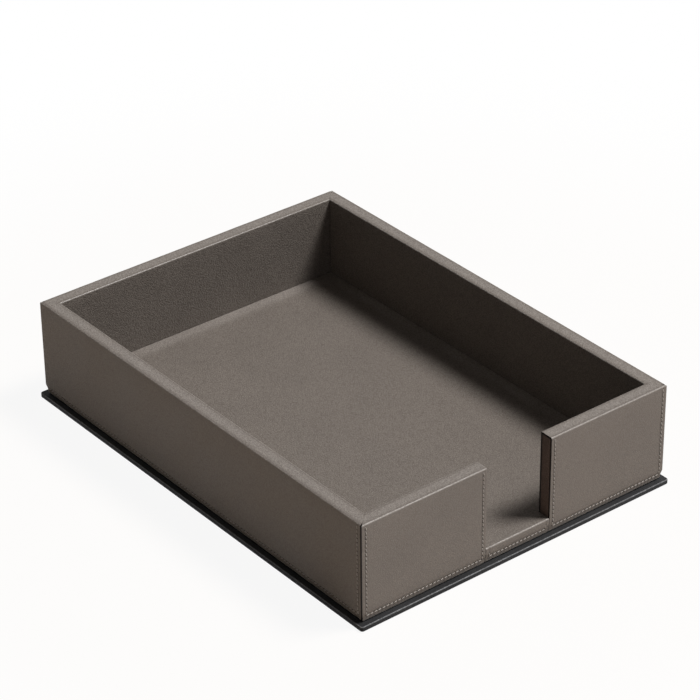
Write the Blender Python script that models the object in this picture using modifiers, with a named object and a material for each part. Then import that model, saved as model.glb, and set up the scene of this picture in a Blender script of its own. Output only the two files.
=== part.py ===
# Leather-covered desk tray for A4 paper, with a finger notch in its front wall.
# Metres, +Z up. The origin is on the table under the middle of the tray, the notch faces -Y.
# Five boards make the walls and one makes the floor. A sheet of leather runs down the outside
# of each wall, over its top and down the inside, and the tray stands on a thin covered base.
import math

import bpy
import bmesh

# Overall sizes, measured over the leather
TRAY_WIDTH = 0.240
TRAY_LENGTH = 0.330
TRAY_HEIGHT = 0.072
NOTCH_WIDTH = 0.051

# Sheets and boards
WALL_BOARD = 0.0066
FLOOR_BOARD = 0.0074
LEATHER = 0.0013
CHEEK = 0.0010
GLUE = 0.0003
BOARD_ROUND = 0.0004
FOLD_ROUND = 0.0010

# The lower edge of the box, drawn in over most of the floor board's thickness
TUCK_DEPTH = 0.0009
TUCK_HEIGHT_SHARE = 0.75

# The base plate
BASE_BOARD = 0.0018
BASE_SKIN = 0.0005
BASE_REACH = 0.0030
BASE_CORNER = 0.0010
BASE_EDGE_ROUND = 0.0006
BASE_TURN_IN = 0.0140

# How far a cutter runs past what it cuts, and how close points are one point
OVERRUN = 0.0040
SAME_POINT = 0.000001

ROUND_STEPS = 6
EDGE_STEPS = 3

# Distances from a wall's outer face, going into the wall
OUTER_FACE = LEATHER + GLUE
INNER_FACE = OUTER_FACE + WALL_BOARD
WALL = INNER_FACE + GLUE + LEATHER

# Heights above the table
BASE_TOP = BASE_BOARD + 2 * (BASE_SKIN + GLUE)
BOARD_FOOT = BASE_TOP + GLUE + LEATHER + GLUE
FLOOR_BOARD_TOP = BOARD_FOOT + FLOOR_BOARD
FLOOR_TOP = FLOOR_BOARD_TOP + GLUE + LEATHER
BOARD_TOP = TRAY_HEIGHT - LEATHER - GLUE
TUCK_START = BOARD_FOOT + TUCK_HEIGHT_SHARE * (FLOOR_BOARD - BOARD_ROUND)

HALF_WIDTH = TRAY_WIDTH / 2
HALF_LENGTH = TRAY_LENGTH / 2
HALF_NOTCH = NOTCH_WIDTH / 2

# Colour, roughness and metallic value of each material
MATERIALS = {
    "taupe leather": ((0.168, 0.139, 0.122, 1.0), 0.52, 0.0),
    "cheek leather": ((0.062, 0.045, 0.037, 1.0), 0.58, 0.0),
    "charcoal leather": ((0.045, 0.045, 0.046, 1.0), 0.50, 0.0),
    "fibreboard": ((0.330, 0.235, 0.150, 1.0), 0.80, 0.0),
    "suede": ((0.060, 0.055, 0.050, 1.0), 0.95, 0.0),
}

# Turn about Z that points a wall's depth into the tray
SIDE_TURNS = {-1: 0.0, 1: math.pi}
END_TURNS = {-1: math.pi / 2, 1: -math.pi / 2}


def clear_scene():
    for old in list(bpy.data.objects):
        bpy.data.objects.remove(old, do_unlink=True)


def new_collection(name):
    collection = bpy.data.collections.new(name)
    bpy.context.scene.collection.children.link(collection)
    return collection


def arc(centre, radius, start, end):
    points = []
    for step in range(ROUND_STEPS + 1):
        angle = math.radians(start + (end - start) * step / ROUND_STEPS)
        points.append((centre[0] + radius * math.cos(angle), centre[1] + radius * math.sin(angle)))
    return points


# A wall's section is drawn as depth from the outer face and height. Its faces lie at a
# distance outside the board: none for the board itself, more for each side of the leather.
# The leather is skived and pressed, so its outside folds more sharply than its thickness gives.
def fold_radius(distance):
    return FOLD_ROUND if distance > GLUE else BOARD_ROUND + distance


def top_inner(distance, top):
    radius = fold_radius(distance)
    centre = (INNER_FACE + distance - radius, top + distance - radius)
    return arc(centre, radius, 0, 90)


def top_outer(distance, top):
    radius = fold_radius(distance)
    centre = (OUTER_FACE - distance + radius, top + distance - radius)
    return arc(centre, radius, 90, 180)


def lower_edge(distance):
    radius = fold_radius(distance)
    centre = (OUTER_FACE + TUCK_DEPTH - distance + radius, BOARD_FOOT - distance + radius)
    return [(OUTER_FACE - distance, TUCK_START)] + arc(centre, radius, 180, 270)


def wall_board_section():
    return [(INNER_FACE, BOARD_FOOT)] + top_inner(0, BOARD_TOP) + top_outer(0, BOARD_TOP) + lower_edge(0)


def cheek_section():
    foot = FLOOR_BOARD_TOP + GLUE
    top = top_inner(0, BOARD_TOP) + top_outer(0, BOARD_TOP)
    return [(INNER_FACE, foot)] + top + [(OUTER_FACE, foot)]


def wrap_face(distance):
    foot = (INNER_FACE + distance, FLOOR_BOARD_TOP + GLUE)
    turn_in = (WALL, BOARD_FOOT - distance)
    over = top_inner(distance, BOARD_TOP) + top_outer(distance, BOARD_TOP)
    return [foot] + over + lower_edge(distance) + [turn_in]


def floor_face(distance):
    back = (TRAY_LENGTH - WALL - GLUE, FLOOR_BOARD_TOP + distance)
    turn_in = (WALL, BOARD_FOOT - distance)
    return [back] + top_outer(distance, FLOOR_BOARD_TOP) + lower_edge(distance) + [turn_in]


def sheet_section(face):
    return face(GLUE) + list(reversed(face(GLUE + LEATHER)))


def floor_board_section():
    back = TRAY_LENGTH - INNER_FACE - GLUE
    return [(back, BOARD_FOOT), (back, FLOOR_BOARD_TOP)] + top_outer(0, FLOOR_BOARD_TOP) + lower_edge(0)


# Straight room kept in a corner for the leather that laps over it
def lap_room_section(depth):
    past = 2 * OVERRUN
    low = BASE_TOP - past
    high = TRAY_HEIGHT + past
    knee = BOARD_FOOT + BOARD_ROUND
    inner = [(depth + TUCK_DEPTH, low), (depth + TUCK_DEPTH, knee), (depth, TUCK_START), (depth, high)]
    return [(-past, low)] + inner + [(-past, high)]


# Everything outside a wall's finished outer face, which trims the leather that laps over it
def outside_section():
    low = BASE_TOP - OVERRUN
    high = TRAY_HEIGHT + OVERRUN
    face = top_outer(GLUE + LEATHER, BOARD_TOP) + lower_edge(GLUE + LEATHER)
    return [(-OVERRUN, high), (face[0][0], high)] + face + [(face[-1][0], low), (-OVERRUN, low)]


def rectangle(half_width, half_length):
    return [(-half_width, -half_length), (half_width, -half_length), (half_width, half_length),
            (-half_width, half_length)]


def rounded_rectangle(half_width, half_length, radius):
    points = []
    for x_sign, y_sign, start in ((1, 1, 0), (-1, 1, 90), (-1, -1, 180), (1, -1, 270)):
        centre = (x_sign * (half_width - radius), y_sign * (half_length - radius))
        points += arc(centre, radius, start, start + 90)
    return points


# Point in plan at two distances from a corner's outer faces
def corner_point(side, end, from_side, from_end):
    return (side * (HALF_WIDTH - from_side), end * (HALF_LENGTH - from_end))


# What a mitre takes off a side wall at one corner, in plan
def side_mitre_outline(side, end):
    shift = GLUE / math.sqrt(2)
    reach = WALL + OVERRUN
    places = [(-OVERRUN - shift, -OVERRUN), (reach - shift, reach), (reach + OVERRUN, reach),
              (reach + OVERRUN, -OVERRUN)]
    return [corner_point(side, end, *place) for place in places]


# What a mitre takes off the front or back wall at one corner, in plan
def end_mitre_outline(side, end):
    shift = GLUE / math.sqrt(2)
    reach = WALL + OVERRUN
    places = [(-OVERRUN, -OVERRUN - shift), (reach, reach - shift), (reach, reach + OVERRUN),
              (-OVERRUN, reach + OVERRUN)]
    return [corner_point(side, end, *place) for place in places]


# A flat outline extruded to a closed mesh, half its thickness each way
def extruded_mesh(name, outline, thickness):
    curve = bpy.data.curves.new(name + "_outline", "CURVE")
    curve.dimensions = "2D"
    curve.fill_mode = "BOTH"
    curve.extrude = thickness / 2
    spline = curve.splines.new("POLY")
    spline.points.add(len(outline) - 1)
    for point, (x, y) in zip(spline.points, outline):
        point.co = (x, y, 0, 1)
    spline.use_cyclic_u = True
    carrier = bpy.data.objects.new(name + "_outline", curve)
    bpy.context.scene.collection.objects.link(carrier)
    evaluated = carrier.evaluated_get(bpy.context.evaluated_depsgraph_get())
    mesh = bpy.data.meshes.new_from_object(evaluated)
    bpy.data.objects.remove(carrier, do_unlink=True)
    weld_mesh(mesh)
    return mesh


def weld_mesh(mesh):
    shape = bmesh.new()
    shape.from_mesh(mesh)
    bmesh.ops.remove_doubles(shape, verts=shape.verts, dist=SAME_POINT)
    bmesh.ops.recalc_face_normals(shape, faces=shape.faces)
    shape.to_mesh(mesh)
    shape.free()


def add_solid(collection, name, outline, thickness, location=(0, 0, 0), rotation=(0, 0, 0)):
    mesh = extruded_mesh(name, outline, thickness)
    mesh.name = name
    solid = bpy.data.objects.new(name, mesh)
    solid.location = location
    solid.rotation_euler = rotation
    collection.objects.link(solid)
    return solid


# A plate that lies flat between two heights
def add_plate(collection, name, outline, low, high, place=(0, 0)):
    return add_solid(collection, name, outline, high - low, (place[0], place[1], (low + high) / 2))


# A section run along a side wall, some way past both corners
def add_along_side(collection, name, section, side, past):
    rotation = (math.pi / 2, 0, SIDE_TURNS[side])
    location = (side * HALF_WIDTH, 0, 0)
    return add_solid(collection, name, section, TRAY_LENGTH + 2 * past, location, rotation)


# A section run along the front or back wall between two places across the tray
def add_along_end(collection, name, section, end, start, stop):
    rotation = (math.pi / 2, 0, END_TURNS[end])
    location = ((start + stop) / 2, end * HALF_LENGTH, 0)
    return add_solid(collection, name, section, abs(stop - start), location, rotation)


def as_cutter(cutter):
    cutter.hide_render = True
    cutter.display_type = "WIRE"
    return cutter


def add_boolean(solid, operation, other):
    modifier = solid.modifiers.new(operation.lower() + "_" + other.name, "BOOLEAN")
    modifier.operation = operation
    modifier.solver = "EXACT"
    modifier.object = other


def finish(solid, material_name, root):
    colour, roughness, metallic = MATERIALS[material_name]
    material = bpy.data.materials.new(solid.name)
    material.use_nodes = True
    shader = material.node_tree.nodes["Principled BSDF"]
    shader.inputs["Base Color"].default_value = colour
    shader.inputs["Roughness"].default_value = roughness
    shader.inputs["Metallic"].default_value = metallic
    solid.data.materials.clear()
    solid.data.materials.append(material)
    solid.data.shade_smooth()
    solid.data.set_sharp_from_angle(angle=math.radians(30))
    solid.parent = root


# What is cut off the side wall and off the end wall at each corner, the mitre first. The front
# wall's leather laps over the sides', and the sides' leather laps over the back wall's.
def make_corner_cutters(cutters):
    found = {}
    low = BASE_TOP - OVERRUN
    high = TRAY_HEIGHT + OVERRUN
    past = 2 * OVERRUN
    across = HALF_WIDTH + past
    lap = lap_room_section(LEATHER + GLUE / 2)
    room = lap_room_section(LEATHER + GLUE / 2 + GLUE)
    outside = outside_section()
    front_lap = add_along_end(cutters, "front_lap", lap, -1, -across, across)
    front_room = add_along_end(cutters, "front_lap_room", room, -1, -across, across)
    back_outside = add_along_end(cutters, "back_outside", outside, 1, -across, across)
    for side, word in ((-1, "left"), (1, "right")):
        side_lap = add_along_side(cutters, word + "_lap", lap, side, past)
        side_room = add_along_side(cutters, word + "_lap_room", room, side, past)
        side_outside = add_along_side(cutters, word + "_outside", outside, side, past)
        mitres = {}
        for end, end_word in ((-1, "front"), (1, "back")):
            name = end_word + "_" + word
            outline = side_mitre_outline(side, end)
            mitres["side", end] = add_plate(cutters, name + "_side_mitre", outline, low, high)
            outline = end_mitre_outline(side, end)
            mitres["end", end] = add_plate(cutters, name + "_end_mitre", outline, low, high)
        add_boolean(mitres["end", -1], "DIFFERENCE", front_lap)
        add_boolean(mitres["side", 1], "DIFFERENCE", side_lap)
        found["side", side, -1] = [mitres["side", -1], front_room]
        found["end", side, -1] = [mitres["end", -1], side_outside]
        found["side", side, 1] = [mitres["side", 1], back_outside]
        found["end", side, 1] = [mitres["end", 1], side_room]
    for cutter in cutters.objects:
        as_cutter(cutter)
    return found


# A board takes the mitre alone, and the leather on it every cut of its corner
def cut_corner(board, leather, corner_cutters):
    add_boolean(board, "DIFFERENCE", corner_cutters[0])
    for cutter in corner_cutters:
        add_boolean(leather, "DIFFERENCE", cutter)


# The left and right walls run the whole length, mitred into the end walls
def make_side_wall(tray, found, root, side, word):
    past = OVERRUN / 2
    board = add_along_side(tray, word + "_wall_board", wall_board_section(), side, past)
    leather = add_along_side(tray, word + "_wall_leather", sheet_section(wrap_face), side, past)
    for end in (-1, 1):
        cut_corner(board, leather, found["side", side, end])
    finish(board, "fibreboard", root)
    finish(leather, "taupe leather", root)


def make_back_wall(tray, found, root):
    past = HALF_WIDTH + OVERRUN / 2
    board = add_along_end(tray, "back_wall_board", wall_board_section(), 1, -past, past)
    leather = add_along_end(tray, "back_wall_leather", sheet_section(wrap_face), 1, -past, past)
    for side in (-1, 1):
        cut_corner(board, leather, found["end", side, 1])
    finish(board, "fibreboard", root)
    finish(leather, "taupe leather", root)


# One half of the front wall, from its corner to the notch, with the strip that faces the notch
def make_front_half(tray, found, root, side, word):
    past = side * (HALF_WIDTH + OVERRUN / 2)
    board_end = side * (HALF_NOTCH + CHEEK + GLUE)
    board = add_along_end(tray, "front_" + word + "_board", wall_board_section(), -1, board_end, past)
    section = sheet_section(wrap_face)
    leather = add_along_end(tray, "front_" + word + "_leather", section, -1, side * HALF_NOTCH, past)
    cut_corner(board, leather, found["end", side, -1])
    cheek_back = side * (HALF_NOTCH + CHEEK)
    name = "front_" + word + "_cheek"
    cheek = add_along_end(tray, name, cheek_section(), -1, side * HALF_NOTCH, cheek_back)
    finish(board, "fibreboard", root)
    finish(leather, "taupe leather", root)
    finish(cheek, "cheek leather", root)


# Takes a floor piece back to the inside of the front wall on both sides of the notch
def cut_beside_notch(piece, cutters, half_tongue, depth):
    half_room = (HALF_WIDTH - half_tongue) / 2
    half_depth = (depth + OVERRUN) / 2
    for side, side_word in ((-1, "left"), (1, "right")):
        place = (side * (half_tongue + half_room), half_depth - OVERRUN - HALF_LENGTH)
        outline = rectangle(half_room, half_depth)
        name = piece.name + "_" + side_word + "_room"
        room = add_plate(cutters, name, outline, BASE_TOP - OVERRUN, TRAY_HEIGHT, place)
        add_boolean(piece, "DIFFERENCE", as_cutter(room))


# The floor board sits between the wall boards, with a tongue that runs out through the notch
def make_floor_board(tray, cutters, root):
    edge = INNER_FACE + GLUE
    half_room = HALF_WIDTH - edge
    board = add_along_end(tray, "floor_board", floor_board_section(), -1, -half_room, half_room)
    cut_beside_notch(board, cutters, HALF_NOTCH + CHEEK, edge)
    finish(board, "fibreboard", root)


# The floor leather lies between the walls, runs over the sill and turns down and under it
def make_floor_leather(tray, cutters, root):
    edge = WALL + GLUE
    half_room = HALF_WIDTH - edge
    section = sheet_section(floor_face)
    leather = add_along_end(tray, "floor_leather", section, -1, -half_room, half_room)
    cut_beside_notch(leather, cutters, HALF_NOTCH - GLUE, edge)
    finish(leather, "taupe leather", root)


# A rounded plate outline, a given depth inside the base's outer edge
def base_outline(depth):
    skins = BASE_SKIN + GLUE
    half_width = HALF_WIDTH + BASE_REACH - depth
    half_length = HALF_LENGTH + BASE_REACH - depth
    return rounded_rectangle(half_width, half_length, BASE_CORNER + skins - depth)


# The base is a thin board in a cover that turns in underneath, with a lining in the opening
def make_base(tray, cutters, root):
    skins = BASE_SKIN + GLUE
    cover = add_plate(tray, "base_cover", base_outline(0), 0, BASE_TOP)
    rounding = cover.modifiers.new("round_edges", "BEVEL")
    rounding.width = min(BASE_EDGE_ROUND, BASE_TOP / 2)
    rounding.segments = EDGE_STEPS
    rounding.limit_method = "ANGLE"
    rounding.angle_limit = math.radians(60)
    room_outline = base_outline(BASE_SKIN)
    room = add_plate(cutters, "base_board_room", room_outline, BASE_SKIN, BASE_TOP - BASE_SKIN)
    half_width = HALF_WIDTH + BASE_REACH - BASE_TURN_IN
    half_length = HALF_LENGTH + BASE_REACH - BASE_TURN_IN
    opening_outline = rectangle(half_width, half_length)
    opening = add_plate(cutters, "base_opening", opening_outline, -OVERRUN, BASE_TOP / 2)
    add_boolean(cover, "DIFFERENCE", as_cutter(room))
    add_boolean(cover, "DIFFERENCE", as_cutter(opening))
    board = add_plate(tray, "base_board", base_outline(skins), skins, skins + BASE_BOARD)
    lining_outline = rectangle(half_width - GLUE, half_length - GLUE)
    lining = add_plate(tray, "base_lining", lining_outline, 0, BASE_SKIN)
    finish(cover, "charcoal leather", root)
    finish(board, "fibreboard", root)
    finish(lining, "suede", root)


def main():
    clear_scene()
    tray = new_collection("paper_tray")
    cutters = new_collection("cutters")
    root = bpy.data.objects.new("tray_origin", None)
    tray.objects.link(root)
    found = make_corner_cutters(cutters)
    for side, word in ((-1, "left"), (1, "right")):
        make_side_wall(tray, found, root, side, word)
        make_front_half(tray, found, root, side, word)
    make_back_wall(tray, found, root)
    make_floor_board(tray, cutters, root)
    make_floor_leather(tray, cutters, root)
    make_base(tray, cutters, root)


main()
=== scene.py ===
import math
import random

import bmesh
import bpy
from mathutils import Matrix, Vector, noise


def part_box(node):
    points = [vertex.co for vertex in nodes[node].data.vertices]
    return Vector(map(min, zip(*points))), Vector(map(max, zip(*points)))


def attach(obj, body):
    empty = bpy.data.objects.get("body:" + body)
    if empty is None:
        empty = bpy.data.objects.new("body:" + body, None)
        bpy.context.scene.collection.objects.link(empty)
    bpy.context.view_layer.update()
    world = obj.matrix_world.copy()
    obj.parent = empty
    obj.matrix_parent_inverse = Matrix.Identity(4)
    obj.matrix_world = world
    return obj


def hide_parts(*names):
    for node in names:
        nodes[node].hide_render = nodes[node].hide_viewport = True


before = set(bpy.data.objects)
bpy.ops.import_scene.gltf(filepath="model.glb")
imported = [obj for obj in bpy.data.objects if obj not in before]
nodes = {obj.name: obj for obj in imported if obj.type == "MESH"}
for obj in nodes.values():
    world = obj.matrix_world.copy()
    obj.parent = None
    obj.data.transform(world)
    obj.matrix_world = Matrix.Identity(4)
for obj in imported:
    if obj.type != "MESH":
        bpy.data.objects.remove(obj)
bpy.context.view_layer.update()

mm = 0.001
print("frame loaded:", len(nodes), "nodes")

# Where the tray's own faces are, read off the frame
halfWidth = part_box("right_wall_leather")[1].x
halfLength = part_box("back_wall_leather")[1].y
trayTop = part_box("right_wall_leather")[1].z
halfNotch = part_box("front_right_leather")[0].x
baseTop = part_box("base_cover")[1].z
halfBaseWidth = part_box("base_cover")[1].x
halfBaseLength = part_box("base_cover")[1].y

# The build of a covered wall, the same as in the solids
build = {
    "leather": 1.3 * mm,
    "glue": 0.3 * mm,
    "wallBoard": 6.6 * mm,
    "floorBoard": 7.4 * mm,
    "boardRound": 0.4 * mm,
    "foldRound": 1.0 * mm,      # outside of the skived leather's folds
    "tuckDepth": 0.9 * mm,      # how far the lower edge is drawn in
    "tuckShare": 0.75,          # over how much of the floor board's thickness
    "foldSteps": 8,
}
leatherFace = build["glue"] + build["leather"]
outerFace = leatherFace
innerFace = outerFace + build["wallBoard"]
wallDepth = innerFace + leatherFace
boardFoot = baseTop + build["glue"] + leatherFace
floorBoardTop = boardFoot + build["floorBoard"]
boardTop = trayTop - leatherFace
foldStart = boardTop - build["boardRound"]
lowFold = boardFoot + build["boardRound"]
tuckStart = boardFoot + build["tuckShare"] * (build["floorBoard"] - build["boardRound"])
topCentre = trayTop - build["foldRound"]
lowCentre = boardFoot - leatherFace + build["foldRound"]
mitreShift = 0.03 * mm
lapDepth = build["leather"] + build["glue"] / 2
lapRoom = lapDepth + build["glue"]


def smooth(low, high, value):
    share = min(max((value - low) / (high - low), 0.0), 1.0)
    return share * share * (3 - 2 * share)


def bell(value, centre, width):
    return math.exp(-((value - centre) / width) ** 2)


def spaced(start, stop, steps):
    return [start + (stop - start) * step / steps for step in range(steps + 1)]


class Wire:
    def __init__(self, tree, socket=None):
        self.tree, self.socket = tree, socket

    def node(self, kind, settings=None, inputs=None, output=0):
        made = self.tree.nodes.new(kind)
        for name, value in (settings or {}).items():
            setattr(made, name, value)
        for name, value in (inputs or {}).items():
            if isinstance(value, Wire):
                self.tree.links.new(value.socket, made.inputs[name])
            else:
                made.inputs[name].default_value = value
        return Wire(self.tree, made.outputs[output])

    def math(self, operation, first, second):
        return self.node("ShaderNodeMath", {"operation": operation}, {0: first, 1: second})

    def __add__(self, other):
        return self.math("ADD", self, other)

    def __sub__(self, other):
        return self.math("SUBTRACT", self, other)

    def __rsub__(self, other):
        return self.math("SUBTRACT", other, self)

    def __mul__(self, other):
        return self.math("MULTIPLY", self, other)

    __radd__ = __add__
    __rmul__ = __mul__

    def between(self, low, high):
        return self.node("ShaderNodeMapRange", {"interpolation_type": "SMOOTHSTEP"},
                         {"Value": self, "From Min": low, "From Max": high})

    def tint(self, first, second):
        settings = {"data_type": "RGBA"}
        return self.node("ShaderNodeMix", settings, {0: self, 6: first, 7: second}, 2)


def rgb(red, green, blue):
    return (red, green, blue, 1.0)


# An empty material with its shader, a wire to build on and the object's own coordinates
def newMaterial(name):
    material = bpy.data.materials.new(name)
    material.use_nodes = True
    tree = material.node_tree
    wire = Wire(tree)
    place = wire.node("ShaderNodeTexCoord", output="Object")
    return material, tree.nodes["Principled BSDF"], wire, place


def plug(tree, shader, links):
    for name, value in links.items():
        if isinstance(value, Wire):
            tree.links.new(value.socket, shader.inputs[name])
        else:
            shader.inputs[name].default_value = value


def cloudy(wire, place, scale, detail=2.0):
    return wire.node("ShaderNodeTexNoise", {}, {"Vector": place, "Scale": scale, "Detail": detail})


def shifted(wire, place, scale, reach):
    swirl = wire.node("ShaderNodeTexNoise", {}, {"Vector": place, "Scale": scale, "Detail": 1.0}, "Color")
    centred = wire.node("ShaderNodeVectorMath", {"operation": "SUBTRACT"}, {0: swirl, 1: (0.5, 0.5, 0.5)})
    moved = wire.node("ShaderNodeVectorMath", {"operation": "SCALE"}, {0: centred, "Scale": reach})
    return wire.node("ShaderNodeVectorMath", {"operation": "ADD"}, {0: place, 1: moved})


def bumpFrom(wire, height, strength, distance):
    settings = {"Height": height, "Strength": strength, "Distance": distance}
    return wire.node("ShaderNodeBump", {}, settings)


taupe = {
    "colour": rgb(0.186, 0.161, 0.140),
    "crease": rgb(0.114, 0.096, 0.083),
    # lighter tone for folds and rims, partly wear and partly a painted highlight
    "wearAndHighlight": rgb(0.370, 0.334, 0.306),
    "mottle": 0.03,
    "cell": 1.20 * mm,
    "wrinkle": 1.30 * mm,
    "bump": 0.24 * mm,
    "rough": 0.50,
    "specular": 0.20,
    "burnish": 0.50,
    "pressed": 0.60,            # how much flatter the grain is where the sheet was ironed down
}
charcoal = {
    "colour": rgb(0.034, 0.034, 0.035),
    "crease": rgb(0.019, 0.019, 0.020),
    # lighter tone for the base's top edge, a painted highlight
    "wearAndHighlight": rgb(0.150, 0.150, 0.154),
    "mottle": 0.10,
    "cell": 0.80 * mm,
    "wrinkle": 0.90 * mm,
    "bump": 0.07 * mm,
    "rough": 0.46,
    "specular": 0.08,
    "burnish": 0.25,
    "pressed": 0.0,
}
# Darker, browner copy of the leather for the notch's cheeks: painted shade for faces in the notch's shade
shadedCheekBrown = {
    "colour": rgb(0.108, 0.076, 0.062),
    "crease": rgb(0.060, 0.042, 0.034),
    "wearAndHighlight": rgb(0.130, 0.100, 0.085),
    "mottle": 0.12,
    "cell": 0.90 * mm,
    "wrinkle": 1.00 * mm,
    "bump": 0.09 * mm,
    "rough": 0.50,
    "specular": 0.20,
    "burnish": 0.0,
    "pressed": 0.0,
}


# How a leather's grain is made up
grain = {
    "bend": 0.8,                # how far its creases stray, in cells
    "bends": 0.35,              # how often they do, per cell
    "crease": 0.26,             # width of the creases between pebbles
    "wrinkle": 0.11,            # and of the wrinkles across them
    "fine": 3.0,                # spots of finer grain per cell
    "pores": 800.0,             # per metre, and so are the patches of its mottle
    "patches": 34.0,
    "middle": 0.72,             # tone where the grain was ironed away
    "seamShade": 0.45,
    "creaseRough": 0.14,
    "patchRough": 0.05,
    "foldRough": 0.10,
    "coatRough": 0.30,
}


# Grained leather: pebbles parted by creases, wrinkles across them, a soft mottle, folds and rims lighter
# (partly wear, partly a painted highlight), painted shade in seam grooves
def leatherMaterial(name, look):
    material, shader, wire, place = newMaterial(name)

    def mark(layer):
        return wire.node("ShaderNodeAttribute", {"attribute_name": layer}, output="Fac")

    bent = shifted(wire, place, grain["bends"] / look["cell"], grain["bend"] * look["cell"])
    settings = {"feature": "DISTANCE_TO_EDGE"}
    edges = wire.node("ShaderNodeTexVoronoi", settings, {"Vector": bent, "Scale": 1 / look["cell"]})
    pebble = edges.between(0.0, grain["crease"])
    swell = cloudy(wire, bent, 1 / look["wrinkle"], 1.5)
    wrinkle = wire.math("ABSOLUTE", swell - 0.5, 0.0).between(0.0, grain["wrinkle"])
    fine = cloudy(wire, place, grain["fine"] / look["cell"])
    patches = cloudy(wire, place, grain["patches"]).between(0.32, 0.68)
    pores = cloudy(wire, place, grain["pores"]).between(0.35, 0.65)
    grained = 1 - look["pressed"] * mark("ironed")
    gloss = mark("gloss")

    depth = 0.55 + 0.45 * pores
    relief = (pebble * depth * 0.35 + wrinkle * 0.45 + fine * 0.25) * grained
    flat = (0.35 * pebble * depth + 0.45 * wrinkle + 0.35 * fine).between(0.15, 0.95)
    tone = (grain["middle"] + (flat - grain["middle"]) * grained).tint(look["crease"], look["colour"])
    gain = 1 - look["mottle"] + 2 * look["mottle"] * patches
    grey = wire.node("ShaderNodeCombineColor", {}, {0: gain, 1: gain, 2: gain})
    settings = {"data_type": "RGBA", "blend_type": "MULTIPLY"}
    mottled = wire.node("ShaderNodeMix", settings, {0: 1.0, 6: tone, 7: grey}, 2)
    # Folds and rims go lighter: partly wear, partly a painted highlight where they catch the light
    lightened = (mark("fold") * (0.45 + 0.55 * pores)).tint(mottled, look["wearAndHighlight"])
    # Seam grooves tinted toward the crease colour: painted shade in the recess
    pressed = (mark("seamGrooveShade") * grain["seamShade"]).tint(lightened, look["crease"])
    rough = look["rough"] + grain["creaseRough"] * (1 - flat) + grain["patchRough"] * patches
    plug(material.node_tree, shader, {
        "Base Color": pressed,
        "Roughness": rough - grain["foldRough"] * gloss,
        "Normal": bumpFrom(wire, relief, 1.0, look["bump"]),
        "Specular IOR Level": look["specular"],
        "Coat Weight": look["burnish"] * gloss * (0.5 + 0.5 * pores),
        "Coat Roughness": grain["coatRough"],
    })
    return material


paint = {"colour": rgb(0.008, 0.006, 0.005), "thin": rgb(0.018, 0.013, 0.011), "rough": 0.55}


# Painted cut edge, brushed on in a slightly uneven coat
def edgePaint(name):
    material, shader, wire, place = newMaterial(name)
    brushed = cloudy(wire, place, 900.0, 3.0).between(0.30, 0.72)
    streak = cloudy(wire, place, 160.0, 2.0)
    tone = (brushed * 0.6).tint(paint["colour"], paint["thin"])
    bump = bumpFrom(wire, brushed + streak, 0.6, 0.06 * mm)
    plug(material.node_tree, shader, {
        "Base Color": tone, "Roughness": paint["rough"] + 0.2 * streak, "Normal": bump,
        "Specular IOR Level": 0.12})
    return material


threadLook = {"colour": rgb(0.370, 0.335, 0.305), "shade": rgb(0.220, 0.195, 0.172), "rough": 0.62}


# Waxed thread, with fine fibres along its plies
def threadMaterial(name):
    material, shader, wire, place = newMaterial(name)
    fibres = cloudy(wire, place, 7000.0, 2.0).between(0.3, 0.7)
    wax = cloudy(wire, place, 260.0)
    tone = (0.25 + 0.75 * fibres).tint(threadLook["shade"], threadLook["colour"])
    bump = bumpFrom(wire, fibres, 0.5, 0.03 * mm)
    plug(material.node_tree, shader, {
        "Base Color": tone, "Roughness": threadLook["rough"] - 0.2 * wax, "Normal": bump,
        "Specular IOR Level": 0.3})
    return material


# near-black lens for the stitch holes: painted shade
holeShadeLook = {"colour": rgb(0.018, 0.014, 0.012), "fuzz": rgb(0.045, 0.036, 0.031), "rough": 0.9}


def holeShadeMaterial(name):
    material, shader, wire, place = newMaterial(name)
    ragged = cloudy(wire, place, 2400.0)
    tone = ragged.tint(holeShadeLook["colour"], holeShadeLook["fuzz"])
    plug(material.node_tree, shader, {
        "Base Color": tone, "Roughness": holeShadeLook["rough"], "Specular IOR Level": 0.1})
    return material


boardLook = {
    "colour": rgb(0.330, 0.235, 0.150),
    "chip": rgb(0.170, 0.112, 0.066),
    "pale": rgb(0.450, 0.345, 0.235),
}


# Pressed fibreboard: felted fibres with a few dark chips
def boardMaterial(name):
    material, shader, wire, place = newMaterial(name)
    felt = cloudy(wire, shifted(wire, place, 300.0, 2 * mm), 1400.0, 4.0)
    chips = cloudy(wire, place, 520.0, 2.0).between(0.60, 0.72)
    fibres = felt.between(0.3, 0.7).tint(boardLook["colour"], boardLook["pale"])
    tone = chips.tint(fibres, boardLook["chip"])
    bump = bumpFrom(wire, felt, 0.6, 0.10 * mm)
    plug(material.node_tree, shader, {"Base Color": tone, "Roughness": 0.72 + 0.2 * felt, "Normal": bump})
    return material


suedeLook = {
    "colour": rgb(0.060, 0.055, 0.050),
    "brushed": rgb(0.105, 0.097, 0.089),
    "sheen": 0.25,
}


# Suede lining, its nap brushed this way and that
def suedeMaterial(name):
    material, shader, wire, place = newMaterial(name)
    nap = cloudy(wire, place, 5200.0, 3.0)
    strokes = cloudy(wire, shifted(wire, place, 30.0, 20 * mm), 46.0).between(0.40, 0.62)
    tone = (0.35 * nap + 0.45 * strokes).tint(suedeLook["colour"], suedeLook["brushed"])
    bump = bumpFrom(wire, nap, 0.8, 0.10 * mm)
    plug(material.node_tree, shader, {
        "Base Color": tone, "Roughness": 0.95, "Normal": bump, "Sheen Weight": suedeLook["sheen"],
        "Sheen Roughness": 0.5, "Specular IOR Level": 0.1})
    return material


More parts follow.
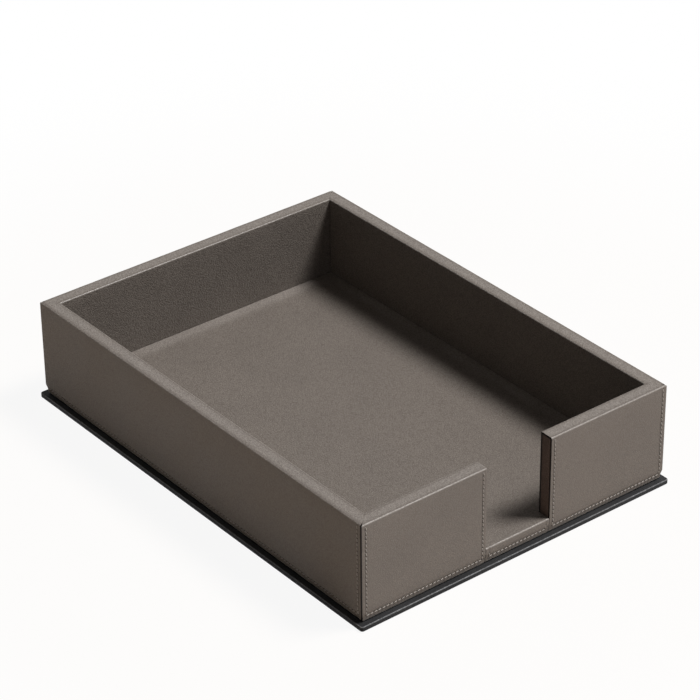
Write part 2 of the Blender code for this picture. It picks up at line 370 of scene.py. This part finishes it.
taupeLeather = leatherMaterial("taupeLeather", taupe)
charcoalLeather = leatherMaterial("charcoalLeather", charcoal)
shadedCheekLeather = leatherMaterial("shadedCheekLeather", shadedCheekBrown)
cutEdge = edgePaint("cutEdge")
thread = threadMaterial("thread")
threadHoleShade = holeShadeMaterial("threadHoleShade")
fibreboard = boardMaterial("fibreboard")
suede = suedeMaterial("suede")
print("materials made")

sharpAngle = math.radians(38)  # a harder bend than this shows as an edge


def newPiece(name, mesh, materials):
    shape = bpy.data.meshes.new(name)
    mesh.to_mesh(shape)
    mesh.free()
    shape.shade_smooth()
    shape.set_sharp_from_angle(angle=sharpAngle)
    for material in materials:
        shape.materials.append(material)
    piece = bpy.data.objects.new(name, shape)
    bpy.context.scene.collection.objects.link(piece)
    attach(piece, "root")
    return piece


# A sheet with thickness from two grids of points. kept says which cells are there, and the
# sides of the sheet, where a neighbour isn't, are its cut edges.
def sheetPiece(name, upper, lower, kept, marks):
    mesh = bmesh.new()
    layers = [mesh.verts.layers.float.new(mark) for mark in ("fold", "seamGrooveShade", "gloss", "ironed")]
    made = {}

    def corner(grid, level, row, column):
        if (level, row, column) not in made:
            vertex = mesh.verts.new(grid[row][column])
            for layer, mark in zip(layers, marks[row][column]):
                vertex[layer] = mark
            made[level, row, column] = vertex
        return made[level, row, column]

    def face(corners, slot):
        mesh.faces.new([corner(upper if level else lower, level, row, column)
                        for level, row, column in corners]).material_index = slot

    rows, columns = len(upper), len(upper[0])
    there = {(row, column) for row in range(rows - 1) for column in range(columns - 1) if kept(row, column)}
    for row, column in there:
        cell = [(row, column), (row + 1, column), (row + 1, column + 1), (row, column + 1)]
        face([(1, *spot) for spot in cell], 0)
        face([(0, *spot) for spot in reversed(cell)], 0)
        beside = [(row, column - 1), (row + 1, column), (row, column + 1), (row - 1, column)]
        for turn, neighbour in enumerate(beside):
            if neighbour not in there:
                first, second = cell[turn], cell[(turn + 1) % 4]
                face([(1, *second), (1, *first), (0, *first), (0, *second)], 1)
    bmesh.ops.recalc_face_normals(mesh, faces=mesh.faces)
    return newPiece(name, mesh, [taupeLeather, cutEdge])


seam = {
    "height": 7.6 * mm,         # of the row along the lower edge
    "top": 70.4 * mm,           # where the upright rows end
    "fromCorner": 3.0 * mm,     # on a sheet that laps over its neighbour
    "fromUnder": 4.4 * mm,      # on one that goes under
    "fromNotch": 2.7 * mm,
    "groove": 0.20 * mm,
    "grooveWidth": 0.60 * mm,
    "pitch": 3.0 * mm,
    "stitch": 2.35 * mm,
    "thread": 0.33 * mm,        # half the thread's thickness
    "slant": 9.0,
}
hand = {
    "wave": 0.05 * mm,          # how far the faces wander
    "waveLength": 34 * mm,
    "foldWave": 0.06 * mm,      # and the folds
    "foldWaveLength": 11 * mm,
    "edgeDip": 0.03 * mm,       # how far a cut edge is pressed down
    "lapDip": 0.07 * mm,        # and how much more on the outside
    # how far folds and rims go to the lighter tone, partly wear and partly a painted highlight
    "foldWearAndHighlight": 0.62,
    "rimWearAndHighlight": 0.28,
    "dipWidth": 0.7 * mm,
    "stillWidth": 3 * mm,       # by an end, where nothing wanders
    "apart": 0.7,               # so that facing walls wander differently
}
meshRows = {
    "apart": 5 * mm,            # on plain leather
    "seam": 0.25 * mm,          # and on each side of a seam
    "seamCount": 5,
    "footCount": 8,             # the same for the row along the lower edge
    "end": (0.0, 0.25 * mm, 0.6 * mm, 1.1 * mm),    # in from a sheet's end
    "least": 0.08 * mm,
    "inside": 9,                # steps up the inside
    "outside": 8,               # down the outside
    "foot": 6,                  # and down the foot
}


# How far the lower edge is drawn in at a height
def tuckAt(height):
    return build["tuckDepth"] * smooth(tuckStart, lowFold, height)


# The outer face of a covered wall at a height, as depth from the straight part
def outerProfile(height):
    radius = build["foldRound"]
    if height > topCentre:
        return radius - math.sqrt(max(radius ** 2 - (height - topCentre) ** 2, 0.0))
    if height < lowCentre:
        return build["tuckDepth"] + radius - math.sqrt(max(radius ** 2 - (lowCentre - height) ** 2, 0.0))
    return tuckAt(height)


# A step of a run is a spot on the board, the way its faces move off it, the way the sheet looks
# there, and how far it is on a fold
def flatStep(depth, height, out, wearAndHighlight=0.0):
    return {"spot": (depth, height), "way": out, "out": out, "fold": 0.0, "wearAndHighlight": wearAndHighlight, "gloss": wearAndHighlight}


def foldRun(depth, height, way, start, stop):
    steps = []
    for share in spaced(0.0, 1.0, build["foldSteps"]):
        angle = math.radians(start + (stop - start) * share)
        bent = math.sin(math.pi * share)
        steps.append({
            "spot": (depth, height),
            "way": way,
            "out": (math.cos(angle), math.sin(angle)),
            "fold": math.sqrt(bent + 0.02),     # never 0, which means a flat step
            # lighter along the fold: partly wear, partly a painted highlight
            "wearAndHighlight": hand["foldWearAndHighlight"] * bent ** 2,
            "gloss": bent ** 2,
        })
    return steps


def atDistance(step, distance, pushed=0.0):
    radius = 0.0
    if step["fold"]:
        radius = build["foldRound"] if distance > build["glue"] else build["boardRound"] + distance
    return [spot + way * (distance - radius) + out * (radius + pushed)
            for spot, way, out in zip(step["spot"], step["way"], step["out"])]


def lowerRun():
    count = meshRows["footCount"]
    fine = [seam["height"] + step * meshRows["seam"] for step in range(-count, count + 1)]
    heights = sorted({tuckStart, *spaced(tuckStart, lowFold, meshRows["foot"]), *fine}, reverse=True)
    steps = [flatStep(outerFace + tuckAt(height), height, (-1.0, 0.0))
             for height in heights if lowFold < height <= tuckStart]
    steps += foldRun(outerFace + build["tuckDepth"], boardFoot, (-1, -1), 180, 270)
    return steps + [flatStep(wallDepth, boardFoot, (0.0, -1.0))]


# Round a wall from the foot of its inside to the turn-in under it
def wallRun():
    heights = spaced(floorBoardTop + build["glue"], foldStart, meshRows["inside"])
    inside = [flatStep(innerFace, height, (1.0, 0.0)) for height in heights]
    over = foldRun(innerFace, boardTop, (1, 1), 0, 90)
    # The rim's top is made lighter: partly wear, partly a painted highlight
    flat = [flatStep(innerFace + (outerFace - innerFace) * share, boardTop, (0.0, 1.0), hand["rimWearAndHighlight"])
            for share in (0.2, 0.5, 0.8)]
    down = foldRun(outerFace, boardTop, (-1, 1), 90, 180)
    heights = spaced(foldStart, tuckStart, meshRows["outside"])[1:-1]
    outside = [flatStep(outerFace, height, (-1.0, 0.0)) for height in heights]
    return inside[:-1] + over + flat + down + outside + lowerRun()


# Where a sheet ends at a corner, measured from the outer face of the wall round the corner:
# it stops short of the sheet that laps over it, or laps over and is trimmed flush
def goesUnder(depth, height):
    return max(depth + mitreShift, lapRoom + tuckAt(height))


def goesOver(depth, height):
    if depth < lapDepth + tuckAt(height):
        return outerProfile(height)
    return depth + mitreShift


mitreReach = 14 * mm


# Rows squeeze up towards a corner, so that the sheet's end follows its mitre
def squeezed(fromEnd, limit):
    if fromEnd >= mitreReach:
        return fromEnd
    return limit + fromEnd * (1 - limit / mitreReach)


# How much a seam presses the leather at a spot on the outside of a wall
def seamRelief(along, height, uprights, ends):
    inRow = smooth(ends[0] - mm, ends[0], along) * (1 - smooth(ends[1], ends[1] + mm, along))
    groove = bell(height, seam["height"], seam["grooveWidth"]) * inRow
    above = smooth(seam["height"] - mm, seam["height"], height)
    upright = above * (1 - smooth(seam["top"], seam["top"] + mm, height))
    for line in uprights:
        groove = max(groove, bell(along, line, seam["grooveWidth"]) * upright)
    return groove


def wander(spot, fold):
    slow = noise.noise(spot / hand["waveLength"]) * hand["wave"]
    quick = noise.noise(spot / hand["foldWaveLength"]) * hand["foldWave"] * fold
    return slow + quick


# The rows that carry a seam's groove
def seamRows(line):
    count = meshRows["seamCount"]
    return {line + step * meshRows["seam"] for step in range(-count, count + 1)}


# Where rows of points cross a sheet: a coarse spacing, closer by its seams and its ends
def rowPlaces(start, stop, lines, ends):
    places = set(spaced(start, stop, max(round((stop - start) / meshRows["apart"]), 4)))
    for line in lines:
        places |= seamRows(line)
    for end, inward in ends:
        places |= {end + inward * gap for gap in meshRows["end"]}
    ordered = []
    for place in sorted(places):
        if start <= place <= stop and (not ordered or place - ordered[-1] > meshRows["least"]):
            ordered.append(place)
    return ordered


# kind is "side" or "end", sign which of the two. ends gives each end's place along the wall and
# what its sheet does there: goes "under" or "over" at a corner, or is cut "square" at the notch.
def wallSheet(name, kind, sign, ends, uprights, nodeName):
    half = halfLength if kind == "side" else halfWidth
    across = halfWidth if kind == "side" else halfLength
    (start, _), (stop, _) = ends
    run = wallRun()

    def styleAt(place):
        return ends[0][1] if place < (start + stop) / 2 else ends[1][1]

    # The row of points that ends up on a seam's line
    def onRow(line):
        fromEnd = half - abs(line)
        outset = lapRoom if styleAt(line) == "under" else 0.0
        if fromEnd >= mitreReach:
            return line
        return math.copysign(half - (fromEnd - outset) / (1 - outset / mitreReach), line)

    places = rowPlaces(start, stop, [onRow(line) for line in uprights], [(start, 1), (stop, -1)])
    places[0], places[-1] = start, stop
    inset = seam["fromCorner"]
    rowEnds = (min(uprights[0], stop - inset), max(uprights[-1], stop - inset if kind == "side" else start))

    def grid(distance, relief):
        points, marks = [], []
        for place in places:
            line, mark = [], []
            style = styleAt(place)
            for step in run:
                depth, height = atDistance(step, distance)
                along = place
                if style != "square":
                    limit = (goesUnder if style == "under" else goesOver)(depth, height)
                    along = math.copysign(half - squeezed(half - abs(place), limit), place)
                pressed = 0.0
                outside = max(-step["out"][0], 0.0)
                if relief:
                    spot = Vector((along, sign * hand["apart"] + depth, height))
                    pressed = seamRelief(along, height, uprights, rowEnds) * outside
                    gap = min(abs(place - start), abs(place - stop))
                    dip = hand["edgeDip"] + hand["lapDip"] * outside
                    dip *= 1 - smooth(0.0, hand["dipWidth"], gap)
                    wave = wander(spot, step["fold"]) * smooth(0.0, hand["stillWidth"], gap)
                    depth, height = atDistance(step, distance, wave - seam["groove"] * pressed - dip)
                if kind == "side":
                    line.append((sign * (across - depth), along, height))
                else:
                    line.append((along, sign * (across - depth), height))
                mark.append((step["wearAndHighlight"], pressed, step["gloss"], outside))
            points.append(line)
            marks.append(mark)
        return points, marks

    upper, marks = grid(leatherFace, True)
    lower, _ = grid(build["glue"], False)
    piece = sheetPiece(name, upper, lower, lambda row, column: True, marks)
    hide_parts(nodeName)


sideSeam = -(halfLength - seam["fromUnder"])
backSeam = halfWidth - seam["fromUnder"]
endSeam = halfWidth - seam["fromCorner"]
notchSeam = halfNotch + seam["fromNotch"]
sideEnds = ((-halfLength, "under"), (halfLength, "over"))
backEnds = ((-halfWidth, "under"), (halfWidth, "under"))
leftEnds = ((-halfWidth, "over"), (-halfNotch, "square"))
rightEnds = ((halfNotch, "square"), (halfWidth, "over"))
wallSheet("left_wall_wrap", "side", -1, sideEnds, [sideSeam], "left_wall_leather")
wallSheet("right_wall_wrap", "side", 1, sideEnds, [sideSeam], "right_wall_leather")
wallSheet("back_wall_wrap", "end", 1, backEnds, [-backSeam, backSeam], "back_wall_leather")
wallSheet("front_left_wrap", "end", -1, leftEnds, [-endSeam, -notchSeam], "front_left_leather")
wallSheet("front_right_wrap", "end", -1, rightEnds, [notchSeam, endSeam], "front_right_leather")
print("wall sheets made")


floorSheet = {
    "border": 9.0 * mm,         # the floor's sheet climbs over the wall leather's turn-in
    "borderRise": 0.9 * mm,
    # how much lighter a band along the walls is made
    "borderLightening": 0.34,
    "borderPatch": 45 * mm,     # size of the patches in that lighter band
    "sillSeam": 2.6 * mm,       # from the sill's ends
    "rows": [gap * mm for gap in (0.0, 1.5, 3, 4.5, 6, 7, 7.6, 8.2, 8.8, 9.4, 10, 11, 13)],
    "plain": 14 * mm,           # where those close rows end
    "least": 0.15 * mm,
    "lengthSteps": 44,
    "widthSteps": 20,
    "sillRows": (8 * mm, 5 * mm),
    "sillEnd": (0.0, 0.3 * mm, 0.8 * mm),
    "besideNotch": (2 * mm, 5 * mm),
    "open": 30 * mm,            # keeps the border away where the floor runs out into the notch
    "openFade": 3 * mm,
    "lighteningFade": (0.45, 1.25),   # where the border's lighter band starts to fade and is gone, in borders
}
same = 1e-9                     # places closer than this are the same


# The floor's sheet from the back wall over the sill to the turn-in under it
def floorRun():
    backDepth = 2 * halfLength - wallDepth - build["glue"]
    frontDepth = wallDepth + build["glue"]
    rows, plain = floorSheet["rows"], floorSheet["plain"]
    depths = {backDepth - gap for gap in rows} | {frontDepth + gap for gap in rows}
    depths |= set(spaced(frontDepth + plain, backDepth - plain, floorSheet["lengthSteps"]))
    depths |= set(floorSheet["sillRows"])
    flat = [flatStep(depth, floorBoardTop, (0.0, 1.0)) for depth in sorted(depths, reverse=True)]
    sill = foldRun(outerFace, floorBoardTop, (-1, 1), 90, 180)
    upright = [flatStep(outerFace, (floorBoardTop + tuckStart) / 2, (-1.0, 0.0))]
    return flat + sill + upright + lowerRun(), frontDepth


def makeFloorSheet():
    run, frontDepth = floorRun()
    halfSheet = halfWidth - wallDepth - build["glue"]
    halfSill = halfNotch - build["glue"]
    line = halfSill - floorSheet["sillSeam"]
    places = {halfSheet - gap for gap in floorSheet["rows"]}
    places |= set(spaced(0.0, halfSheet - floorSheet["plain"], floorSheet["widthSteps"]))
    places |= {halfSill - gap for gap in floorSheet["sillEnd"]}
    places |= {halfNotch + gap for gap in floorSheet["besideNotch"]}
    places |= seamRows(line)
    columns = []
    for place in sorted(places):
        if not columns or place - columns[-1] > floorSheet["least"] or place == halfSill:
            columns.append(place)
    columns = [-place for place in reversed(columns) if place > 0] + columns

    def onFloor(step):
        return step["spot"][0] >= frontDepth - same and not step["fold"] and step["out"][1] > 0.9

    upper, lower, marks = [], [], []
    for step in run:
        high, low, mark = [], [], []
        for across in columns:
            depth, height = atDistance(step, leatherFace)
            pressed, wearAndHighlight = 0.0, step["wearAndHighlight"]
            if onFloor(step):
                opened = 1 - smooth(halfSill, halfNotch + floorSheet["openFade"], abs(across))
                front = depth - frontDepth + floorSheet["open"] * opened
                edge = min(halfSheet - abs(across), 2 * halfLength - wallDepth - build["glue"] - depth, front)
                climb = 1 - smooth(0.0, floorSheet["border"], edge)
                pushed = floorSheet["borderRise"] * climb
                # A lighter band along the walls, in patches, fading out from them
                patch = noise.noise(Vector((across, depth, 0)) / floorSheet["borderPatch"])
                lightened = floorSheet["borderLightening"] * min(max(0.7 + 0.9 * patch, 0.1), 1.0)
                wearAndHighlight = lightened * (1 - smooth(*floorSheet["lighteningFade"], edge / floorSheet["border"]))
            else:
                pressed = seamRelief(across, height, [-line, line], (-line, line)) * max(-step["out"][0], 0.0)
                gap = halfSill - abs(across)
                dip = hand["edgeDip"] * (1 - smooth(0.0, hand["dipWidth"], gap))
                pushed = -seam["groove"] * pressed - dip
            pushed += wander(Vector((across, depth - halfLength, height)), step["fold"])
            depth, height = atDistance(step, leatherFace, pushed)
            high.append((across, depth - halfLength, height))
            mark.append((wearAndHighlight, pressed, step["gloss"], max(-step["out"][0], 0.0)))
            depth, height = atDistance(step, build["glue"])
            low.append((across, depth - halfLength, height))
        upper.append(high)
        lower.append(low)
        marks.append(mark)

    def kept(row, column):
        onSill = max(abs(columns[column]), abs(columns[column + 1])) <= halfSill + same
        return onFloor(run[row + 1]) or onSill

    piece = sheetPiece("floor_wrap", upper, lower, kept, marks)
    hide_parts("floor_leather")
    return line


sillSeam = makeFloorSheet()
print("floor sheet made")


stitchShape = {
    "rise": 0.10 * mm,          # of its middle
    "dive": 0.30 * mm,          # of its ends into the holes
    "taper": 0.45,
    "twist": 0.13,              # how far its plies stand out
    "lift": 0.04 * mm,          # of the whole stitch off the leather
    "stray": (0.06, 0.02),      # how far it is off its place along the row and outwards, in mm
    "sides": 8,
    "rings": 9,
}
holeShape = {
    "along": 0.41 * mm,
    "across": 0.34 * mm,
    "rise": 0.05 * mm,
    "depth": 0.25 * mm,
    "sunk": 0.14 * mm,          # below the leather's face
    "sides": 8,
}


def addStitch(mesh, middle, along, out):
    slanted = Matrix.Rotation(math.radians(seam["slant"]), 3, out) @ along
    side = out.cross(slanted)
    sides, rings = stitchShape["sides"], stitchShape["rings"]
    loops = []
    for ring in range(rings):
        share = -1 + 2 * ring / (rings - 1)
        lift = stitchShape["rise"] * (1 - abs(share) ** 3) - stitchShape["dive"] * abs(share) ** 5
        centre = middle + slanted * (share * seam["stitch"] / 2) + out * lift
        taper = 1 - stitchShape["taper"] * abs(share) ** 6
        loop = []
        for corner in range(sides):
            angle = 2 * math.pi * corner / sides
            plies = 1 + stitchShape["twist"] * math.cos(2 * angle - 5 * share)
            around = side * math.cos(angle) + out * math.sin(angle)
            loop.append(mesh.verts.new(centre + around * (seam["thread"] * taper * plies)))
        loops.append(loop)
    for first, second in zip(loops, loops[1:]):
        for corner in range(sides):
            after = (corner + 1) % sides
            mesh.faces.new((first[corner], first[after], second[after], second[corner]))
    mesh.faces.new(list(reversed(loops[0])))
    mesh.faces.new(loops[-1])


# A dark lens sunk in the leather where the thread goes through, painted shade for the hole
def addHoleShade(mesh, middle, along, out):
    side = out.cross(along)
    tip = mesh.verts.new(middle + out * holeShape["rise"])
    root = mesh.verts.new(middle - out * holeShape["depth"])
    rim = []
    for corner in range(holeShape["sides"]):
        angle = 2 * math.pi * corner / holeShape["sides"]
        offset = along * (holeShape["along"] * math.cos(angle))
        offset += side * (holeShape["across"] * math.sin(angle))
        rim.append(mesh.verts.new(middle + offset))
    for corner in range(holeShape["sides"]):
        after = rim[(corner + 1) % holeShape["sides"]]
        for end in (tip, root):
            mesh.faces.new((rim[corner], after, end)).material_index = 1


# rows are lists of (start, stop, out); a row is shared out so that its stitches are even
def stitching(name, rows):
    mesh = bmesh.new()
    rng = random.Random(name)
    strayAlong, strayOut = stitchShape["stray"]
    for start, stop, out in rows:
        span = stop - start
        count = max(round(span.length / seam["pitch"]), 1)
        along = span.normalized()
        for number in range(count):
            middle = start + span * ((number + 0.5) / count)
            jitter = along * rng.uniform(-strayAlong, strayAlong) * mm
            jitter += out * rng.uniform(-strayOut, strayOut) * mm
            addStitch(mesh, middle + jitter + out * stitchShape["lift"], along, out)
        for number in range(count + 1):
            addHoleShade(mesh, start + span * (number / count) - out * holeShape["sunk"], along, out)
    bmesh.ops.recalc_face_normals(mesh, faces=mesh.faces)
    return newPiece(name, mesh, [thread, threadHoleShade])


# Rows on one outer face: one along the lower edge, and upright rows that follow the tuck
def faceRows(spotOf, out, ends, uprights, top):
    low = seam["height"]
    dipped = outerProfile(low)
    rows = [(spotOf(ends[0], low, dipped), spotOf(ends[1], low, dipped), out)]
    for line in uprights:
        rows.append((spotOf(line, low, dipped), spotOf(line, tuckStart, 0.0), out))
        if top > tuckStart + seam["pitch"]:
            rows.append((spotOf(line, tuckStart, 0.0), spotOf(line, top, 0.0), out))
    return rows


def sideSpot(sign):
    return lambda along, height, depth: Vector((sign * (halfWidth - depth), along, height))


def endSpot(sign):
    return lambda along, height, depth: Vector((along, sign * (halfLength - depth), height))


for sign, word in ((-1, "left"), (1, "right")):
    ends = (sideSeam, halfLength - seam["fromCorner"])
    rows = faceRows(sideSpot(sign), Vector((sign, 0, 0)), ends, [sideSeam], seam["top"])
    stitching(word + "_wall_stitching", rows)
    lines = [sign * notchSeam, sign * endSeam]
    rows = faceRows(endSpot(-1), Vector((0, -1, 0)), lines, lines, seam["top"])
    stitching("front_" + word + "_stitching", rows)
lines = [-backSeam, backSeam]
rows = faceRows(endSpot(1), Vector((0, 1, 0)), lines, lines, seam["top"])
stitching("back_wall_stitching", rows)
lines = [-sillSeam, sillSeam]
rows = faceRows(endSpot(-1), Vector((0, -1, 0)), lines, lines, tuckStart)
stitching("sill_stitching", rows)
print("stitches made")


baseWrap = {
    "skin": 0.5 * mm,
    "edgeRound": 0.6 * mm,
    "corner": 1.8 * mm,
    "leastCorner": 0.15 * mm,
    "turnIn": 14.0 * mm,
    "reach": 20.0 * mm,         # how far in the rings go before one face closes them
    "ring": 6.0 * mm,
    "nearRing": 2.0 * mm,
    "cornerSteps": 8,
    "edgeSteps": 6,
}


# The base's outline a given way in from its edge, the same number of points each time
def baseOutline(inset):
    radius = max(baseWrap["corner"] - inset, baseWrap["leastCorner"])
    reachX, reachY = halfBaseWidth - inset - radius, halfBaseLength - inset - radius
    points = []
    for signX, signY, start in ((1, 1, 0), (-1, 1, 90), (-1, -1, 180), (1, -1, 270)):
        for angle in spaced(start, start + 90, baseWrap["cornerSteps"]):
            turn = math.radians(angle)
            x = signX * reachX + radius * math.cos(turn)
            points.append((x, signY * reachY + radius * math.sin(turn)))
    return points


def makeBase():
    edge, skin = baseWrap["edgeRound"], baseWrap["skin"]
    reach, ring, turnIn = baseWrap["reach"], baseWrap["ring"], baseWrap["turnIn"]
    path = [(reach, baseTop), (ring, baseTop), (baseWrap["nearRing"], baseTop)]
    for angle in spaced(0, 90, baseWrap["edgeSteps"]):
        turn = math.radians(angle)
        path.append((edge - edge * math.sin(turn), baseTop - edge + edge * math.cos(turn)))
    for angle in spaced(0, 90, baseWrap["edgeSteps"]):
        turn = math.radians(angle)
        path.append((edge - edge * math.cos(turn), edge - edge * math.sin(turn)))
    path += [(ring, 0.0), (turnIn, 0.0), (turnIn, skin), (ring, skin), (skin, skin)]
    path += [(skin, baseTop - skin), (ring, baseTop - skin), (reach, baseTop - skin)]
    mesh = bmesh.new()
    for mark in ("seamGrooveShade", "ironed", "gloss", "fold"):
        mesh.verts.layers.float.new(mark)
    fold, gloss = mesh.verts.layers.float["fold"], mesh.verts.layers.float["gloss"]
    loops = []
    for inset, height in path:
        loop = []
        # The top edge's rounding is painted lighter: a painted highlight
        onEdge = baseTop - edge < height < baseTop and inset < edge
        for x, y in baseOutline(inset):
            vertex = mesh.verts.new((x, y, height))
            vertex[fold] = vertex[gloss] = 1.0 if onEdge else 0.0
            loop.append(vertex)
        loops.append(loop)
    count = len(loops[0])
    for first, second in zip(loops, loops[1:]):
        for corner in range(count):
            after = (corner + 1) % count
            mesh.faces.new((first[corner], first[after], second[after], second[corner]))
    mesh.faces.new(loops[0])
    mesh.faces.new(loops[-1])
    bmesh.ops.recalc_face_normals(mesh, faces=mesh.faces)
    piece = newPiece("base_wrap", mesh, [charcoalLeather])
    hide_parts("base_cover")


makeBase()
print("base made")


carried = {
    # the cheeks take the leather painted darker for their shade
    "front_left_cheek": shadedCheekLeather,
    "front_right_cheek": shadedCheekLeather,
    "base_lining": suede,
}
for name, node in nodes.items():
    kind = carried.get(name, fibreboard if name.endswith("_board") else None)
    if kind:
        node.data.materials.clear()
        node.data.materials.append(kind)
print("carried nodes finished")


stageLook = {
    "size": 12.0,
    "drop": 0.2 * mm,           # below the lining
    "colour": rgb(0.72, 0.62, 0.52),
    "glow": 0.92,               # how white it looks by the tray
    "near": 0.24,               # from here out it gets whiter
    "far": 0.60,                # and is all white here
}


# 1 for what looks at a surface straight, by reflection or through glass, 0 for light on the tray
def seenDirectly(wire):
    paths = [wire.node("ShaderNodeLightPath", output=kind)
             for kind in ("Is Camera Ray", "Is Glossy Ray", "Is Transmission Ray")]
    return paths[0] + paths[1] + paths[2]


# Paper sweep. What looks straight or by reflection at it sees it nearly white, with the tray's
# shadow still on it. The light that it bounces on the tray is warmer than white paper's.
def makeFloor():
    mesh = bmesh.new()
    half = stageLook["size"] / 2
    spots = ((-half, -half), (half, -half), (half, half), (-half, half))
    mesh.faces.new([mesh.verts.new((x, y, -stageLook["drop"])) for x, y in spots])
    shape = bpy.data.meshes.new("floor")
    mesh.to_mesh(shape)
    mesh.free()
    floor = bpy.data.objects.new("floor", shape)
    bpy.context.scene.collection.objects.link(floor)
    material, shader, wire, place = newMaterial("whitePaper")
    tree = material.node_tree
    tooth = cloudy(wire, place, 900.0, 3.0)
    plug(tree, shader, {
        "Base Color": stageLook["colour"],
        "Roughness": 0.9,
        "Specular IOR Level": 0.1,
        "Normal": bumpFrom(wire, tooth, 0.15, 0.1 * mm),
    })
    glow = wire.node("ShaderNodeEmission", {}, {"Color": rgb(1, 1, 1), "Strength": 1.0})
    away = wire.node("ShaderNodeVectorMath", {"operation": "LENGTH"}, {0: place}, "Value")
    fading = away.between(stageLook["near"], stageLook["far"])
    share = seenDirectly(wire) * (stageLook["glow"] + (1 - stageLook["glow"]) * fading)
    mixed = wire.node("ShaderNodeMixShader", {}, {0: share, 1: Wire(tree, shader.outputs[0]), 2: glow})
    tree.links.new(mixed.socket, tree.nodes["Material Output"].inputs["Surface"])
    shape.materials.append(material)


surroundings = {"fill": 0.045, "tint": rgb(1.0, 0.84, 0.68)}


def makeWorld():
    world = bpy.data.worlds.new("studio")
    bpy.context.scene.world = world
    world.use_nodes = True
    wire = Wire(world.node_tree)
    seen = seenDirectly(wire)
    plug(world.node_tree, world.node_tree.nodes["Background"], {
        "Strength": surroundings["fill"] + (1 - surroundings["fill"]) * seen,
        "Color": seen.tint(surroundings["tint"], rgb(1, 1, 1)),
    })


lamps = {
    "softbox": {
        "towards": (0.418, -0.275, 0.866),
        "distance": 6.0,
        "size": (1.7, 1.7),
        "watts": 448.0,
        "colour": (1.0, 1.0, 1.0),
    },
    # Low in front, so that it lights little but the front
    "frontStrip": {
        "towards": (0.10, -1.0, 0.028),
        "distance": 1.6,
        "size": (1.3, 0.08),
        "watts": 5.0,
        "colour": (0.72, 0.84, 1.0),
    },
}


def makeLamp(name, lamp):
    light = bpy.data.lights.new(name, "AREA")
    light.shape = "RECTANGLE"
    light.size, light.size_y = lamp["size"]
    light.energy = lamp["watts"]
    light.color = lamp["colour"]
    holder = bpy.data.objects.new(name, light)
    towards = Vector(lamp["towards"]).normalized()
    holder.location = towards * lamp["distance"]
    holder.rotation_euler = (-towards).to_track_quat("-Z", "Y").to_euler()
    bpy.context.scene.collection.objects.link(holder)


shot = {
    "position": (-0.9894, -1.2532, 1.0285),
    "target": (0.07057, 0.08457, 0.0),
    "roll": -0.62,
    "lens": 152.49,
    "sensor": 36.0,
}


def makeCamera():
    data = bpy.data.cameras.new("camera")
    data.lens = shot["lens"]
    data.sensor_width = shot["sensor"]
    camera = bpy.data.objects.new("camera", data)
    position = Vector(shot["position"])
    look = (Vector(shot["target"]) - position).to_track_quat("-Z", "Y").to_matrix()
    turn = look @ Matrix.Rotation(math.radians(shot["roll"]), 3, "Z")
    camera.matrix_world = Matrix.Translation(position) @ turn.to_4x4()
    bpy.context.scene.collection.objects.link(camera)
    bpy.context.scene.camera = camera


makeFloor()
makeWorld()
for name, lamp in lamps.items():
    makeLamp(name, lamp)
makeCamera()
bpy.context.scene.view_settings.view_transform = "Standard"
print("stage, light and camera made")
